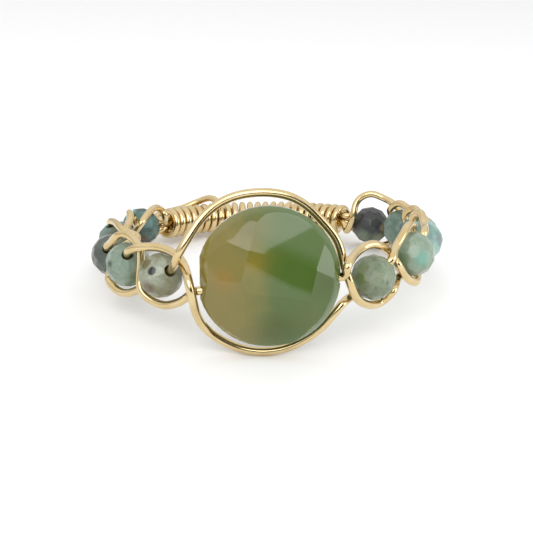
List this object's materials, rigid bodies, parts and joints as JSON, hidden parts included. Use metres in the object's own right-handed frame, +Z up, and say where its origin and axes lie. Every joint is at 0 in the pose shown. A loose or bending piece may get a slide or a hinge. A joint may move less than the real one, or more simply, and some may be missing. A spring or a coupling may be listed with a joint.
{
  "type": "finger ring",
  "caption": "Finger ring with a large faceted round front stone, small faceted beads round both sides, braided wires and a wire-bound back.",
  "frame": {"origin": "on the floor under the middle of the ring, which lies on its side", "axes": "+Z up from the floor; -Y toward the front stone; +X toward the beads on the right as seen from the front"},
  "size_m": [0.0232, 0.0234, 0.0096],
  "materials": {
    "coin_stone": "polished opaque green stone",
    "bead_teal": "polished opaque pale blue-green stone",
    "bead_green": "polished opaque mottled green stone",
    "bead_charcoal": "polished opaque dark stone",
    "gold_wire": "polished pale gold"
  },
  "bodies": {
    "root": {"coin_bead": "coin_stone", "bead_right_1": "bead_teal", "bead_right_2": "bead_teal", "bead_right_3": "bead_teal", "bead_right_4": "bead_green", "bead_right_5": "bead_green", "bead_right_6": "bead_charcoal", "bead_left_1": "bead_teal", "bead_left_2": "bead_teal", "bead_left_3": "bead_green", "bead_left_4": "bead_green", "bead_left_5": "bead_charcoal", "strand_a": "gold_wire", "strand_b": "gold_wire", "strand_c": "gold_wire", "back_wrap": "gold_wire"}
  },
  "joints": []
}
